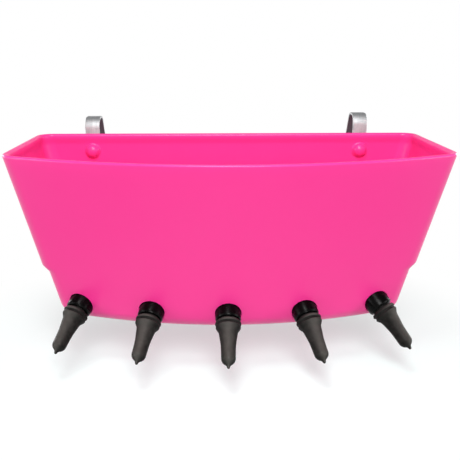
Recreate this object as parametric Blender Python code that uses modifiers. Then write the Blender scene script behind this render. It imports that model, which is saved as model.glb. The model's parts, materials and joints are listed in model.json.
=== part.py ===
"""Five-teat milk feeder for calves: an open moulded trough that hangs on a rail by two steel hooks.

Metres, +Z up. The front of the trough, with the teats, faces -Y and the rail is behind it at +Y.
The origin is the rail seat: midway between the hooks, where their crowns rest on the rail.
Every piece is built in trough coordinates, whose zero is the middle of the back rim, and hangs
from one empty that carries those coordinates to the rail seat.
"""

import math

import bmesh
import bpy
from mathutils import Matrix, Vector

# Trough: sizes of the outer skin, measured from the back of the rim
RIM_HALF_WIDTH = 0.400
RIM_CORNER_DEPTH = 0.2925
RIM_CENTRE_DEPTH = 0.404
HEIGHT = 0.326
BASE_HALF_WIDTH = 0.3265
BASE_CORNER_DEPTH = 0.2165
BASE_CENTRE_DEPTH = 0.289
BACK_CORNER_RADIUS = 0.032
FRONT_CORNER_REACH = 0.0285
FRONT_CORNER_SHARE = 0.87
BASE_EDGE_RADIUS = 0.025
WALL = 0.006
LIP_RADIUS = 0.005
LIP_DROP = 0.008
LIP_FADE = 0.020
MIDDLE_LEVEL = -0.110

# Nesting ledge: the end walls step in here, so that stacked troughs don't jam
LEDGE_TOP = -0.219
LEDGE_BOTTOM = -0.229
LEDGE_STEP = 0.010

# How finely the outline and its round edges are drawn
BACK_SEGMENTS = 3
CORNER_SEGMENTS = 5
SIDE_SEGMENTS = 2
FRONT_SEGMENTS = 10
EDGE_SEGMENTS = 4

# Teat stations, left to right as seen from the front
TEAT_X = (-0.2833, -0.147, -0.0065, 0.1348, 0.278)
TEAT_YAW = (-26.0, -15.5, -1.0, 20.0, 43.5)
TEAT_PITCH = (34.7, 35.2, 36.5, 37.0, 38.9)
TEAT_Z = -0.2918

# Along a station's axis: zero is the front wall, positive is out towards the calf
SEAT_OUT = -0.0135
SEAT_IN = -0.0200
POCKET_RADIUS = 0.0242
BOSS_RADIUS = 0.0306
BOSS_OVERLAP = 0.001
HOLE_RADIUS = 0.0136
GAP = 0.0003
TURN_STEPS = 20
POCKET_STEPS = 24

# Spigot: threaded tube through the wall, with a wide threaded head and a plain nose outside
SPIGOT_HEAD_RADIUS = 0.0190
SPIGOT_THREAD_END = -0.0005
SPIGOT_NOSE_RADIUS = 0.0180
SPIGOT_NOSE_END = 0.0084
SPIGOT_SHANK_RADIUS = 0.0132
SPIGOT_SHANK_END = -0.0345
SPIGOT_BORE_RADIUS = 0.0095
SPIGOT_CHAMFER = 0.0008

# Seal and locknut, which clamp the spigot from inside the trough
SEAL_RADIUS = 0.0195
SEAL_THICKNESS = 0.0025
NUT_ACROSS_FLATS = 0.036
NUT_THICKNESS = 0.0075

# Screw ring, which holds the rubber teat against the spigot
RING_RADIUS = 0.0234
RING_REAR = -0.0125
RING_FRONT = 0.0140
RING_CHAMFER = 0.0020
RING_BORE_RADIUS = 0.0194
LIP_THICKNESS = 0.0024
LIP_HOLE_RADIUS = 0.0178

# Rubber teat
FLANGE_THICKNESS = 0.0026
NECK_RADIUS = 0.0174
COLLAR_REAR = 0.0144
TEAT_DOME_CENTRE = 0.0877
TEAT_DOME_RADIUS = 0.0130
TEAT_DOME_STEPS = 4
TEAT_TIP = 0.1065
DROOP_ANGLE = 5.0
DROOP_START = 0.026
DROOP_END = 0.052

# Hooks, cold bent from galvanised strip; heights are those of the flat crown's outer face
HOOK_X_LEFT = -0.2875
HOOK_X_RIGHT = 0.2825
HOOK_RISE_LEFT = 0.0325
HOOK_RISE_RIGHT = 0.0395
HOOK_WIDTH = 0.030
HOOK_THICKNESS = 0.0045
HOOK_NEAR_END = -0.062
HOOK_NEAR_BEND = 0.020
HOOK_FAR_BEND = 0.020
HOOK_FLARE = 32.0
HOOK_FAR_Y = 0.078
HOOK_FAR_Z = -0.010
HOOK_FAR_END = -0.042
HOOK_BEND_STEPS = 6

# Bolt of each hook, in a threaded insert that is moulded into the back wall
BOLT_Z = -0.0365
BOLT_RADIUS = 0.004
BOLT_END = -0.0115
BOLT_HEAD_FLATS = 0.013
BOLT_HEAD_HEIGHT = 0.0053
WASHER_RADIUS = 0.0085
WASHER_THICKNESS = 0.0016
INSERT_RADIUS = 0.006
INSERT_LENGTH = 0.013
BOLT_HOLE_RADIUS = 0.0045
PAD_RADIUS = 0.0165
PAD_HEIGHT = 0.0025
PAD_EDGE = 0.001
DOME_RADIUS = 0.0137
DOME_HEIGHT = 0.0105
DOME_STEPS = 5

# The rail seat, in trough coordinates
SEAT_Y = 0.030
SEAT_Z = (HOOK_RISE_LEFT + HOOK_RISE_RIGHT) / 2 - HOOK_THICKNESS

SIDES = (("left", HOOK_X_LEFT, HOOK_RISE_LEFT), ("right", HOOK_X_RIGHT, HOOK_RISE_RIGHT))
MERGE = 0.00001


def clear_scene():
    for old in list(bpy.data.objects):
        bpy.data.objects.remove(old, do_unlink=True)


def make_collection(name):
    collection = bpy.data.collections.new(name)
    bpy.context.scene.collection.children.link(collection)
    return collection


def make_material(name, colour, roughness, metallic=0.0):
    material = bpy.data.materials.new(name)
    material.use_nodes = True
    shader = material.node_tree.nodes["Principled BSDF"]
    shader.inputs["Base Color"].default_value = (*colour, 1.0)
    shader.inputs["Roughness"].default_value = roughness
    shader.inputs["Metallic"].default_value = metallic
    material.diffuse_color = (*colour, 1.0)
    return material


def add_object(name, mesh, material, collection, parent):
    thing = bpy.data.objects.new(name, mesh)
    collection.objects.link(thing)
    thing.parent = parent
    if material:
        mesh.materials.append(material)
    return thing


def add_empty(name, collection, parent, matrix):
    empty = bpy.data.objects.new(name, None)
    empty.empty_display_size = 0.02
    collection.objects.link(empty)
    empty.parent = parent
    empty.matrix_basis = matrix
    return empty


def mark_cutter(thing):
    thing.hide_render = True
    thing.display_type = "WIRE"
    return thing


def mesh_from(bm, name, smooth=30.0):
    """Turn a bmesh into a mesh that is shaded smooth where its faces meet at a low angle."""
    mesh = bpy.data.meshes.new(name)
    bm.to_mesh(mesh)
    bm.free()
    mesh.shade_smooth()
    mesh.set_sharp_from_angle(angle=math.radians(smooth))
    return mesh


def boolean(thing, cutter, operation):
    modifier = thing.modifiers.new(cutter.name, "BOOLEAN")
    modifier.operation = operation
    modifier.object = cutter
    return modifier


def turned(name, profile, steps, closed, material, collection, parent):
    """Turn a profile of (radius, height) points about local Z; its outer side runs downwards."""
    bm = bmesh.new()
    verts = [bm.verts.new((radius, 0.0, height)) for radius, height in profile]
    pairs = list(zip(verts, verts[1:]))
    if closed:
        pairs.append((verts[-1], verts[0]))
    for start, end in pairs:
        bm.edges.new((start, end))
    thing = add_object(name, mesh_from(bm, name), material, collection, parent)
    screw = thing.modifiers.new("turn", "SCREW")
    screw.axis = "Z"
    screw.angle = math.radians(360.0)
    screw.steps = steps
    screw.render_steps = steps
    screw.use_merge_vertices = True
    screw.merge_threshold = MERGE
    screw.use_smooth_shade = True
    return thing


def cylinders(name, places, radius, low, high, steps, collection, parent):
    """A cutter of one cylinder for each place, from low to high along that place's own Z."""
    bm = bmesh.new()
    for place in places:
        matrix = place @ Matrix.Translation((0.0, 0.0, (low + high) / 2))
        bmesh.ops.create_cone(bm, cap_ends=True, segments=steps, radius1=radius, radius2=radius,
                              depth=high - low, matrix=matrix)
    return mark_cutter(add_object(name, mesh_from(bm, name), None, collection, parent))


# Trough

def side_x(z):
    """Outer half width of the end walls at height z, with the nesting ledge."""
    slope = (RIM_HALF_WIDTH - BASE_HALF_WIDTH - LEDGE_STEP) / HEIGHT
    below = min(max((LEDGE_TOP - z) / (LEDGE_TOP - LEDGE_BOTTOM), 0.0), 1.0)
    return RIM_HALF_WIDTH + slope * z - LEDGE_STEP * below


def front_y(x, z):
    """Outer face of the front wall: a shallow bow in plan that leans in towards the base."""
    down = -z / HEIGHT
    reach = RIM_HALF_WIDTH + (BASE_HALF_WIDTH - RIM_HALF_WIDTH) * down
    corner = RIM_CORNER_DEPTH + (BASE_CORNER_DEPTH - RIM_CORNER_DEPTH) * down
    centre = RIM_CENTRE_DEPTH + (BASE_CENTRE_DEPTH - RIM_CENTRE_DEPTH) * down
    return -(centre + (corner - centre) * (x / reach) ** 2)


def half_outline(z):
    """Points of the right half at height z, from the middle of the back to the middle of the front."""
    width = side_x(z)
    corner = Vector((width, front_y(width, z)))
    points = []
    straight = width - BACK_CORNER_RADIUS
    for i in range(BACK_SEGMENTS):
        points.append(Vector((straight * i / BACK_SEGMENTS, 0.0)))
    for i in range(CORNER_SEGMENTS):
        angle = math.radians(90.0 * (1 - i / CORNER_SEGMENTS))
        points.append(Vector((straight + BACK_CORNER_RADIUS * math.cos(angle),
                              BACK_CORNER_RADIUS * (math.sin(angle) - 1))))
    side_end = corner + Vector((0.0, FRONT_CORNER_REACH))
    for i in range(SIDE_SEGMENTS):
        points.append(Vector((width, -BACK_CORNER_RADIUS)).lerp(side_end, i / SIDE_SEGMENTS))
    front_x = width - FRONT_CORNER_REACH * FRONT_CORNER_SHARE
    front_start = Vector((front_x, front_y(front_x, z)))
    for i in range(CORNER_SEGMENTS):
        t = i / CORNER_SEGMENTS
        points.append(side_end.lerp(corner, t).lerp(corner.lerp(front_start, t), t))
    for i in range(FRONT_SEGMENTS + 1):
        x = front_x * (1 - i / FRONT_SEGMENTS)
        points.append(Vector((x, front_y(x, z))))
    return points


def outline(z, inset):
    """The whole outline at height z, moved inwards by inset."""
    right = half_outline(z)
    left = [Vector((-p.x, p.y)) for p in reversed(right[1:-1])]
    ring = right + left
    moved = []
    for i, point in enumerate(ring):
        along = (ring[(i + 1) % len(ring)] - ring[i - 1]).normalized()
        outward = Vector((-along.y, along.x))
        moved.append(point - outward * inset)
    return [(p.x, p.y, z) for p in moved]


def outer_levels(inset=0.0):
    """Height and inset of each ring up the outer skin, from the flat of the base to below the lip."""
    levels = []
    for i in range(EDGE_SEGMENTS + 1):
        angle = math.radians(90.0 * i / EDGE_SEGMENTS)
        levels.append((-HEIGHT + BASE_EDGE_RADIUS * (1 - math.cos(angle)),
                       BASE_EDGE_RADIUS * (1 - math.sin(angle)) + inset))
    levels += [(LEDGE_BOTTOM, inset), (LEDGE_TOP, inset), (MIDDLE_LEVEL, inset),
               (-LIP_RADIUS, inset)]
    return levels


def lip_levels():
    """Over the round lip, from its outer side to where it fades into the inner wall."""
    levels = []
    for i in range(1, 2 * EDGE_SEGMENTS + 1):
        angle = math.radians(180.0 - 90.0 * i / EDGE_SEGMENTS)
        levels.append((-LIP_RADIUS * (1 - math.sin(angle)), LIP_RADIUS * (1 + math.cos(angle))))
    return levels + [(-LIP_DROP, 2 * LIP_RADIUS), (-LIP_FADE, WALL)]


def inner_levels():
    """Down the inner wall and round into the floor."""
    levels = [(MIDDLE_LEVEL, WALL), (LEDGE_TOP, WALL), (LEDGE_BOTTOM, WALL)]
    fillet = BASE_EDGE_RADIUS - WALL
    for i in range(EDGE_SEGMENTS, -1, -1):
        angle = math.radians(90.0 * i / EDGE_SEGMENTS)
        levels.append((-HEIGHT + WALL + fillet * (1 - math.cos(angle)),
                       WALL + fillet * (1 - math.sin(angle))))
    return levels


def loft(name, levels):
    """One closed skin over a stack of rings, with a flat cap at each end."""
    bm = bmesh.new()
    rings = [[bm.verts.new(p) for p in outline(z, inset)] for z, inset in levels]
    count = len(rings[0])
    for lower, upper in zip(rings, rings[1:]):
        for i in range(count):
            after = (i + 1) % count
            bm.faces.new((lower[i], upper[i], upper[after], lower[after]))
    bm.faces.new(rings[0])
    bm.faces.new(list(reversed(rings[-1])))
    bmesh.ops.recalc_face_normals(bm, faces=bm.faces)
    return mesh_from(bm, name, smooth=40.0)


def dome_profile():
    """The lump of plastic over a moulded-in insert: a round pad with a dome on it."""
    profile = []
    top = WALL + PAD_HEIGHT + DOME_HEIGHT
    for i in range(DOME_STEPS + 1):
        angle = math.radians(90.0 * i / DOME_STEPS)
        profile.append((DOME_RADIUS * math.sin(angle),
                        top - DOME_HEIGHT * (1 - math.cos(angle))))
    profile += [(PAD_RADIUS - PAD_EDGE, WALL + PAD_HEIGHT),
                (PAD_RADIUS, WALL + PAD_HEIGHT - PAD_EDGE),
                (PAD_RADIUS, WALL / 2), (0.0, WALL / 2)]
    return profile


def bolt_place(x):
    """A bolt's place in trough coordinates, with local Z pointing forwards into the trough."""
    turn = Matrix.Rotation(math.radians(90.0), 4, "X")
    return Matrix.Translation((x, 0.0, BOLT_Z)) @ turn


def station_place(number):
    """A station's place, with local Z pointing out along the teat and local X level."""
    x = TEAT_X[number]
    yaw = math.radians(TEAT_YAW[number])
    tip = math.radians(90.0 + TEAT_PITCH[number])
    turn = Matrix.Rotation(yaw, 4, "Z") @ Matrix.Rotation(tip, 4, "X")
    return Matrix.Translation((x, front_y(x, TEAT_Z), TEAT_Z)) @ turn


def make_trough(parts, cutters, frame, material):
    trough = add_object("trough", loft("trough", outer_levels() + lip_levels() + inner_levels()),
                        material, parts, frame)
    stations = [station_place(number) for number in range(len(TEAT_X))]
    bolts = [bolt_place(x) for _, x, _ in SIDES]

    skin = mark_cutter(add_object("skin_guide", loft("skin_guide", outer_levels(inset=BOSS_OVERLAP)),
                                  None, cutters, frame))
    bosses = cylinders("boss_guides", stations, BOSS_RADIUS, SEAT_IN, BOSS_RADIUS, POCKET_STEPS,
                       cutters, frame)
    boolean(bosses, skin, "INTERSECT")
    boolean(trough, bosses, "UNION")

    pockets = cylinders("pocket_cutters", stations, POCKET_RADIUS, SEAT_OUT, 2 * BOSS_RADIUS,
                        POCKET_STEPS, cutters, frame)
    boolean(trough, pockets, "DIFFERENCE")
    holes = cylinders("hole_cutters", stations, HOLE_RADIUS, SEAT_IN - WALL, SEAT_OUT + WALL,
                      TURN_STEPS, cutters, frame)
    boolean(trough, holes, "DIFFERENCE")

    for name, x, _ in SIDES:
        dome = turned(f"dome_guide_{name}", dome_profile(), TURN_STEPS, False, None, cutters, frame)
        dome.matrix_basis = bolt_place(x)
        boolean(trough, mark_cutter(dome), "UNION")
    sockets = cylinders("insert_cutters", bolts, INSERT_RADIUS + GAP, -WALL,
                        INSERT_LENGTH + 2 * GAP, TURN_STEPS, cutters, frame)
    boolean(trough, sockets, "DIFFERENCE")
    return trough


# Teat stations

def spigot_profile():
    return [
        (SPIGOT_NOSE_RADIUS - SPIGOT_CHAMFER, SPIGOT_NOSE_END),
        (SPIGOT_NOSE_RADIUS, SPIGOT_NOSE_END - SPIGOT_CHAMFER),
        (SPIGOT_NOSE_RADIUS, SPIGOT_THREAD_END),
        (SPIGOT_HEAD_RADIUS, SPIGOT_THREAD_END),
        (SPIGOT_HEAD_RADIUS, SEAT_OUT + GAP),
        (SPIGOT_SHANK_RADIUS, SEAT_OUT + GAP),
        (SPIGOT_SHANK_RADIUS, SPIGOT_SHANK_END),
        (SPIGOT_BORE_RADIUS, SPIGOT_SHANK_END),
        (SPIGOT_BORE_RADIUS, SPIGOT_NOSE_END),
    ]


def seal_profile():
    top = SEAT_IN - GAP
    inner = SPIGOT_SHANK_RADIUS + GAP
    return [(SEAL_RADIUS, top), (SEAL_RADIUS, top - SEAL_THICKNESS),
            (inner, top - SEAL_THICKNESS), (inner, top)]


def ring_profile():
    return [
        (LIP_HOLE_RADIUS, RING_FRONT),
        (RING_RADIUS - RING_CHAMFER, RING_FRONT),
        (RING_RADIUS, RING_FRONT - RING_CHAMFER),
        (RING_RADIUS, RING_REAR),
        (RING_BORE_RADIUS, RING_REAR),
        (RING_BORE_RADIUS, RING_FRONT - LIP_THICKNESS),
        (LIP_HOLE_RADIUS, RING_FRONT - LIP_THICKNESS),
    ]


def teat_profile():
    """Outer side from the tip to the base, then back up the bore to its blind end."""
    outer = [(0.0, TEAT_TIP), (0.0024, 0.1054), (0.0038, 0.1012)]
    for i in range(TEAT_DOME_STEPS):
        angle = math.radians(25.0 + 65.0 * i / (TEAT_DOME_STEPS - 1))
        outer.append((TEAT_DOME_RADIUS * math.sin(angle),
                      TEAT_DOME_CENTRE + TEAT_DOME_RADIUS * math.cos(angle)))
    outer += [(0.0135, 0.0700), (0.0138, 0.0620), (0.0148, 0.0553), (0.0161, 0.0474),
              (0.0172, 0.0390), (0.0185, 0.0350), (0.0216, 0.0310), (0.0227, 0.0285),
              (0.0217, 0.0262), (0.0218, 0.0240), (0.0234, 0.0222), (0.0238, 0.0195),
              (0.0222, 0.0172), (0.0220, COLLAR_REAR)]
    flange_rear = SPIGOT_NOSE_END + GAP
    flange_front = flange_rear + FLANGE_THICKNESS
    outer += [(NECK_RADIUS, COLLAR_REAR), (NECK_RADIUS, flange_front),
              (SPIGOT_HEAD_RADIUS, flange_front), (SPIGOT_HEAD_RADIUS, flange_rear)]
    bore = [(0.0100, flange_rear), (0.0120, 0.0150), (0.0150, 0.0195), (0.0150, 0.0290),
            (0.0125, 0.0400), (0.0100, 0.0580), (0.0090, 0.0850), (0.0, 0.0950)]
    return outer + bore


def droop(mesh):
    """Bend the soft end of a teat down a little, on an arc between two heights along its axis."""
    turn = math.radians(DROOP_ANGLE)
    radius = (DROOP_END - DROOP_START) / turn
    for vert in mesh.vertices:
        x, y, z = vert.co
        if z <= DROOP_START:
            continue
        part = min(z, DROOP_END) - DROOP_START
        angle = part / radius
        past = max(z - DROOP_END, 0.0)
        sag = radius * (1 - math.cos(angle)) + past * math.sin(angle)
        reach = DROOP_START + radius * math.sin(angle) + past * math.cos(angle)
        vert.co = (x, -sag + y * math.cos(angle), reach + y * math.sin(angle))


def make_teat(name, material, collection, parent):
    """Turn the teat, take the turned shape as a mesh and let it droop."""
    draft = turned(f"{name}_draft", teat_profile(), TURN_STEPS, False, None, collection, None)
    bpy.context.view_layer.update()
    evaluated = draft.evaluated_get(bpy.context.evaluated_depsgraph_get())
    mesh = bpy.data.meshes.new_from_object(evaluated)
    mesh.name = name
    bpy.data.objects.remove(draft, do_unlink=True)
    droop(mesh)
    return add_object(name, mesh, material, collection, parent)


def hex_prism(name, flats, low, high, material, collection, parent):
    bm = bmesh.new()
    radius = flats / math.sqrt(3.0)
    bmesh.ops.create_cone(bm, cap_ends=True, segments=6, radius1=radius, radius2=radius,
                          depth=high - low,
                          matrix=Matrix.Translation((0.0, 0.0, (low + high) / 2)))
    return add_object(name, mesh_from(bm, name), material, collection, parent)


def make_station(number, parts, cutters, frame, materials):
    label = number + 1
    place = station_place(number)
    station = add_empty(f"station_{label}", parts, frame, place)
    turned(f"spigot_{label}", spigot_profile(), TURN_STEPS, True, materials["spigot"], parts,
           station)
    turned(f"seal_{label}", seal_profile(), TURN_STEPS, True, materials["seal"], parts, station)
    nut_top = SEAT_IN - 2 * GAP - SEAL_THICKNESS
    nut = hex_prism(f"locknut_{label}", NUT_ACROSS_FLATS, nut_top - NUT_THICKNESS, nut_top,
                    materials["locknut"], parts, station)
    bore = cylinders(f"locknut_bore_{label}", [Matrix.Identity(4)], SPIGOT_SHANK_RADIUS + GAP,
                     nut_top - 2 * NUT_THICKNESS, nut_top + NUT_THICKNESS, TURN_STEPS, cutters,
                     station)
    boolean(nut, bore, "DIFFERENCE")
    make_teat(f"teat_{label}", materials["teat"], parts, station)
    turned(f"teat_ring_{label}", ring_profile(), TURN_STEPS, True, materials["ring"], parts,
           station)


# Hooks

def rounded_path(corners, radii):
    """A path of straight runs through the corners, with an arc of the given radius at each bend."""
    path = [corners[0]]
    for before, corner, after, radius in zip(corners, corners[1:], corners[2:], radii):
        arriving = (corner - before).normalized()
        leaving = (after - corner).normalized()
        turn = arriving.angle(leaving)
        start = corner - arriving * radius * math.tan(turn / 2)
        inward = (leaving - arriving * arriving.dot(leaving)).normalized()
        for i in range(HOOK_BEND_STEPS + 1):
            angle = turn * i / HOOK_BEND_STEPS
            path.append(start + arriving * radius * math.sin(angle)
                        + inward * radius * (1 - math.cos(angle)))
    return path + [corners[-1]]


def hook_path(rise):
    """Middle of the strip as (y, z) points: up the near leg, over the crown, down the far leg."""
    half = HOOK_THICKNESS / 2
    near_y = GAP + half
    crown_z = rise - half
    splay = math.tan(math.radians(HOOK_FLARE))
    far_y = HOOK_FAR_Y - half - (crown_z - HOOK_FAR_Z) * splay
    corners = [
        Vector((near_y, HOOK_NEAR_END)),
        Vector((near_y, crown_z)),
        Vector((far_y, crown_z)),
        Vector((far_y + (crown_z - HOOK_FAR_END) * splay, HOOK_FAR_END)),
    ]
    return rounded_path(corners, (HOOK_NEAR_BEND, HOOK_FAR_BEND))


def make_hook(name, x, rise, parts, cutters, frame, materials):
    bm = bmesh.new()
    edges = []
    for y, z in hook_path(rise):
        left = bm.verts.new((x - HOOK_WIDTH / 2, y, z))
        right = bm.verts.new((x + HOOK_WIDTH / 2, y, z))
        edges.append((left, right))
    for (a, b), (c, d) in zip(edges, edges[1:]):
        bm.faces.new((a, b, d, c))
    hook = add_object(f"hook_{name}", mesh_from(bm, f"hook_{name}"), materials["hook"], parts,
                      frame)
    solidify = hook.modifiers.new("strip thickness", "SOLIDIFY")
    solidify.thickness = HOOK_THICKNESS
    solidify.offset = 0.0
    solidify.use_even_offset = True
    hole = cylinders(f"hook_hole_{name}", [bolt_place(x)], BOLT_HOLE_RADIUS,
                     -3 * HOOK_THICKNESS, HOOK_THICKNESS, TURN_STEPS, cutters, frame)
    boolean(hook, hole, "DIFFERENCE")

    bolt_at = add_empty(f"bolt_place_{name}", parts, frame, bolt_place(x))
    washer_top = -2 * GAP - HOOK_THICKNESS
    washer_low = washer_top - WASHER_THICKNESS
    bore = BOLT_RADIUS + GAP
    turned(f"hook_washer_{name}",
           [(WASHER_RADIUS, washer_top), (WASHER_RADIUS, washer_low), (bore, washer_low),
            (bore, washer_top)],
           TURN_STEPS, True, materials["bolt"], parts, bolt_at)
    turned(f"thread_insert_{name}",
           [(INSERT_RADIUS, GAP + INSERT_LENGTH), (INSERT_RADIUS, GAP), (bore, GAP),
            (bore, GAP + INSERT_LENGTH)],
           TURN_STEPS, True, materials["insert"], parts, bolt_at)
    head_top = washer_low - GAP
    bolt = hex_prism(f"hook_bolt_{name}", BOLT_HEAD_FLATS, head_top - BOLT_HEAD_HEIGHT, head_top,
                     materials["bolt"], parts, bolt_at)
    shank = cylinders(f"bolt_shank_{name}", [Matrix.Identity(4)], BOLT_RADIUS,
                      head_top - BOLT_HEAD_HEIGHT / 2, -BOLT_END, TURN_STEPS, cutters, bolt_at)
    boolean(bolt, shank, "UNION")


def make_materials():
    return {
        "trough": make_material("pink_polyethylene", (0.95, 0.06, 0.31), 0.35),
        "spigot": make_material("black_nylon", (0.02, 0.02, 0.02), 0.45),
        "seal": make_material("seal_rubber", (0.03, 0.03, 0.03), 0.8),
        "locknut": make_material("nut_nylon", (0.03, 0.03, 0.03), 0.5),
        "ring": make_material("glossy_black_nylon", (0.008, 0.008, 0.008), 0.2),
        "teat": make_material("teat_rubber", (0.045, 0.042, 0.04), 0.6),
        "hook": make_material("galvanised_steel", (0.62, 0.63, 0.64), 0.4, 1.0),
        "bolt": make_material("zinc_plated_steel", (0.7, 0.7, 0.68), 0.3, 1.0),
        "insert": make_material("brass", (0.78, 0.57, 0.22), 0.35, 1.0),
    }


def make_feeder():
    clear_scene()
    parts = make_collection("milk_feeder")
    cutters = make_collection("cutters")
    materials = make_materials()
    frame = add_empty("trough_frame", parts, None, Matrix.Translation((0.0, -SEAT_Y, -SEAT_Z)))
    make_trough(parts, cutters, frame, materials["trough"])
    for number in range(len(TEAT_X)):
        make_station(number, parts, cutters, frame, materials)
    for name, x, rise in SIDES:
        make_hook(name, x, rise, parts, cutters, frame, materials)


make_feeder()
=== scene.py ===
# %% [markdown]
# # A hanging milk feeder with five teats
#
# The real object is one big pink moulding of polyethylene that hangs on a rail by two bent
# steel hooks. Five black rubber teats stick out low along its bowed front, each held by a
# glossy black screw ring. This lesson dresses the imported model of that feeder: every piece that
# shows is modelled again with soft edges and fine detail, and every surface gets the finish of
# the real material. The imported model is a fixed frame, so nothing in it is moved.

import json
import math

import bmesh
import bpy
from mathutils import Matrix, Vector


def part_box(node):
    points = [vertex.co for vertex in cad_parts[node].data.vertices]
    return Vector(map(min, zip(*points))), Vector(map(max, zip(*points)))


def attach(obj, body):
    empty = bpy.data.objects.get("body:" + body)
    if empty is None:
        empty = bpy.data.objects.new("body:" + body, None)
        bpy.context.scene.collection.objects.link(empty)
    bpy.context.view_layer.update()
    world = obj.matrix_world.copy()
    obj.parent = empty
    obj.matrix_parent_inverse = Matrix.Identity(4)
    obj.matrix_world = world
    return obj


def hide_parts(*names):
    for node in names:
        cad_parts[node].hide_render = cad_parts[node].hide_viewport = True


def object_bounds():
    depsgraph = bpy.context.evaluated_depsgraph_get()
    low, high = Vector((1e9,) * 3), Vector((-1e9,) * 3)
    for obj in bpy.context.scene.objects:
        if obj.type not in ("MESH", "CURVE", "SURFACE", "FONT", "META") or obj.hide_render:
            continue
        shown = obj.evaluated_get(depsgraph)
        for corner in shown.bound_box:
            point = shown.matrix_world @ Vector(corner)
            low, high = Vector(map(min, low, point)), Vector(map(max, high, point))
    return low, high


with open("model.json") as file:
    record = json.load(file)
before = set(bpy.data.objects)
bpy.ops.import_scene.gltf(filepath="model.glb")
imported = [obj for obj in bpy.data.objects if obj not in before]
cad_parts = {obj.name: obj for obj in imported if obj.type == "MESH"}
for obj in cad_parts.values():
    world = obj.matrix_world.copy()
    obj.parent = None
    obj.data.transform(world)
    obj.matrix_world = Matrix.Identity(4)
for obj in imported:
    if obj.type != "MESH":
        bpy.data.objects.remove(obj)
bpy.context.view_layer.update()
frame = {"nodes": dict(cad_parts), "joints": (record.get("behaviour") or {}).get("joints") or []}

# %% [markdown]
# The trough gives the frame two reference planes. Its back wall is plumb, so the wall's outer
# face is one plane, and the top of its rim is the other. All the heights and depths of the
# moulding are counted from the point where those two planes meet, in the middle of the back
# rim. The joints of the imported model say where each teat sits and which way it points.

# %% Reference planes and teat places
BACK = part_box("trough")[1].y
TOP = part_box("trough")[1].z
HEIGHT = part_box("trough")[1].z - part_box("trough")[0].z


def at(x, y, z):
    """A place counted from the middle of the back rim, in the frame's own coordinates."""
    return Vector((x, y + BACK, z + TOP))


def station(number):
    """A teat's place: local Z points out along the teat, local X is level and local Y is up."""
    joint = next(j for j in frame["joints"] if j["name"] == f"teat_ring_{number}_turn")
    out = Vector(joint["axis"]).normalized()
    level = Vector((0.0, 0.0, 1.0)).cross(out).normalized()
    turn = Matrix((level, out.cross(level), out)).transposed().to_4x4()
    return Matrix.Translation(Vector(joint["pos_m"])) @ turn


TEATS = range(1, 6)
stations = {number: station(number) for number in TEATS}
for number in TEATS:
    print("teat", number, "sits at", [round(v, 4) for v in stations[number].translation])

# %% [markdown]
# A few small helpers keep the modelling readable. An operator acts on everything that is
# selected, so each step first deselects all, and then picks its own piece. A finished piece has
# its place in its mesh and its object at the origin, because materials and later steps count on
# that.

# %% Helpers for selecting, placing and cutting
def pick(thing):
    """Select one object alone and make it active."""
    bpy.ops.object.select_all(action="DESELECT")
    bpy.context.view_layer.objects.active = thing
    thing.select_set(True)
    return thing


def settle(thing, matrix=None):
    """Put a piece in its place and move that place into its mesh."""
    if matrix is not None:
        thing.matrix_world = matrix @ thing.matrix_world
    pick(thing)
    bpy.ops.object.transform_apply(location=True, rotation=True, scale=True)
    return thing


def copy_of(master, name):
    """A copy with a mesh of its own."""
    thing = master.copy()
    thing.data = master.data.copy()
    thing.name = name
    thing.data.name = name
    bpy.context.scene.collection.objects.link(thing)
    return thing


def discard(thing):
    bpy.data.objects.remove(thing, do_unlink=True)


def modify(thing, kind, **settings):
    """Add a modifier with its settings and apply it."""
    pick(thing)
    bpy.ops.object.modifier_add(type=kind)
    modifier = thing.modifiers[-1]
    for key, value in settings.items():
        setattr(modifier, key, value)
    bpy.ops.object.modifier_apply(modifier=modifier.name)
    return thing


def combine(thing, tool, how):
    """Cut a tool out of a piece, or join it on, and throw the tool away."""
    modify(thing, "BOOLEAN", operation=how, solver="EXACT", object=tool)
    discard(tool)
    return thing


def smooth(thing, degrees=35.0):
    pick(thing)
    bpy.ops.object.shade_smooth_by_angle(angle=math.radians(degrees))
    return thing


# %% [markdown]
# Most pieces here are turned or lofted, and both are made in the same way: a circle is added,
# and then it is extruded ring by ring while every ring is moved to its own outline. Each vertex
# remembers its number in the ring in an attribute, which extruding copies to the next ring, so
# the outline can be any closed curve. A ring that starts filled makes a solid with two end
# faces, and one that starts open is bridged to its last ring in the end, like a bent tube.

# %% Helpers for lofting and turning
def ring_to(thing, points):
    """Move the selected ring of the mesh that is being edited to a list of points."""
    mesh = bmesh.from_edit_mesh(thing.data)
    order = mesh.verts.layers.int["order"]
    for vert in mesh.verts:
        if vert.select:
            vert.co = points[vert[order]]
    bmesh.update_edit_mesh(thing.data)


def loft(name, rings, closed=False):
    """Extrude a circle from ring to ring. A closed loft joins its last ring to its first."""
    bpy.ops.object.select_all(action="DESELECT")
    fill = "NOTHING" if closed else "NGON"
    count = len(rings[0])
    bpy.ops.mesh.primitive_circle_add(vertices=count, radius=1.0, fill_type=fill)
    thing = bpy.context.active_object
    thing.name = name
    thing.data.name = name
    order = thing.data.attributes.new("order", "INT", "POINT")
    order.data.foreach_set("value", list(range(count)))
    bpy.ops.object.mode_set(mode="EDIT")
    bpy.ops.mesh.select_all(action="SELECT")
    ring_to(thing, rings[0])
    for points in rings[1:]:
        bpy.ops.mesh.extrude_region_move()
        ring_to(thing, points)
    if closed:
        mesh = bmesh.from_edit_mesh(thing.data)
        mesh.verts.ensure_lookup_table()
        for vert in mesh.verts[:count]:
            vert.select = True
        mesh.select_flush(True)
        bmesh.update_edit_mesh(thing.data)
        bpy.ops.mesh.bridge_edge_loops()
    bpy.ops.mesh.select_all(action="SELECT")
    bpy.ops.mesh.normals_make_consistent(inside=False)
    bpy.ops.object.mode_set(mode="OBJECT")
    thing.data.attributes.remove(thing.data.attributes["order"])
    return thing


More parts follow.
